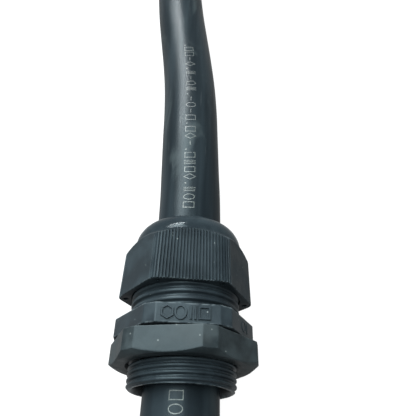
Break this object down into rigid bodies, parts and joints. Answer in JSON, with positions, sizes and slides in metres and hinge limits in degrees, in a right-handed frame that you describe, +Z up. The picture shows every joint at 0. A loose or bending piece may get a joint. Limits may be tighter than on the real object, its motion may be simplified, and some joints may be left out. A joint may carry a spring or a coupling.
{
  "type": "cable gland",
  "caption": "Moulded plastic cable gland with hexagonal collar, lock nut and ribbed domed sealing nut, closed on a short length of thick round cable.",
  "frame": {"origin": "centre of the gland's footprint, on the surface that it lies on; the gland's own axis is 19.52 mm above it and the collar's seat face is at y = -11 mm", "axes": "+Y along the gland's axis, from the entry thread to the dome; +Z up"},
  "size_m": [0.0452, 0.4679, 0.039],
  "materials": {
    "body_nylon": "moulded black nylon, satin",
    "lock_nut_nylon": "moulded black nylon, matte",
    "sealing_nut_nylon": "moulded black nylon, matte sides and a shiny dome",
    "seal_rubber": "black seal rubber",
    "claw_nylon": "moulded black nylon",
    "cable_sheath": "dark slate rubber sheath, semi-matte",
    "cable_filler": "dull filling rubber",
    "binder_tape": "woven cotton tape",
    "core_black": "black core insulation",
    "core_white": "white core insulation",
    "copper": "bare stranded copper"
  },
  "bodies": {
    "body_and_cable": {"gland_body": "body_nylon", "cable_outer": "cable_sheath", "cable_inner": "cable_sheath", "outer_filler": "cable_filler", "inner_filler": "cable_filler", "outer_binder_tape": "binder_tape", "inner_binder_tape": "binder_tape", "outer_core_black": "core_black", "outer_core_white": "core_white", "inner_core_black": "core_black", "inner_core_white": "core_white", "outer_conductor_1": "copper", "outer_conductor_2": "copper", "inner_conductor_1": "copper", "inner_conductor_2": "copper"},
    "claw_and_sleeve": {"clamping_claw": "claw_nylon", "sealing_sleeve": "seal_rubber"},
    "sealing_nut": {"sealing_nut": "sealing_nut_nylon"},
    "seat_ring": {"seat_o_ring": "seal_rubber"},
    "lock_nut": {"lock_nut": "lock_nut_nylon"}
  },
  "joints": [
    {"name": "claw_lift", "type": "slide", "parent": "body_and_cable", "child": "claw_and_sleeve", "axis": [0, 1, 0], "range_m": [0, 0.00551]},
    {"name": "sealing_nut_turn", "type": "hinge", "parent": "claw_and_sleeve", "child": "sealing_nut", "pos_m": [0, 0.008, 0.01952], "axis": [0, 1, 0], "range_deg": [0, 900]},
    {"name": "ring_slide", "type": "slide", "parent": "body_and_cable", "child": "seat_ring", "axis": [0, -1, 0], "range_m": [0, 0.01112]},
    {"name": "lock_nut_turn", "type": "hinge", "parent": "seat_ring", "child": "lock_nut", "pos_m": [0, -0.015, 0.01952], "axis": [0, -1, 0], "range_deg": [0, 2520]}
  ],
  "couplings": [
    {"joint": "claw_lift", "follows": "sealing_nut_turn", "m_per_rad": 0.00035014},
    {"joint": "ring_slide", "follows": "lock_nut_turn", "m_per_rad": 0.00025266}
  ]
}
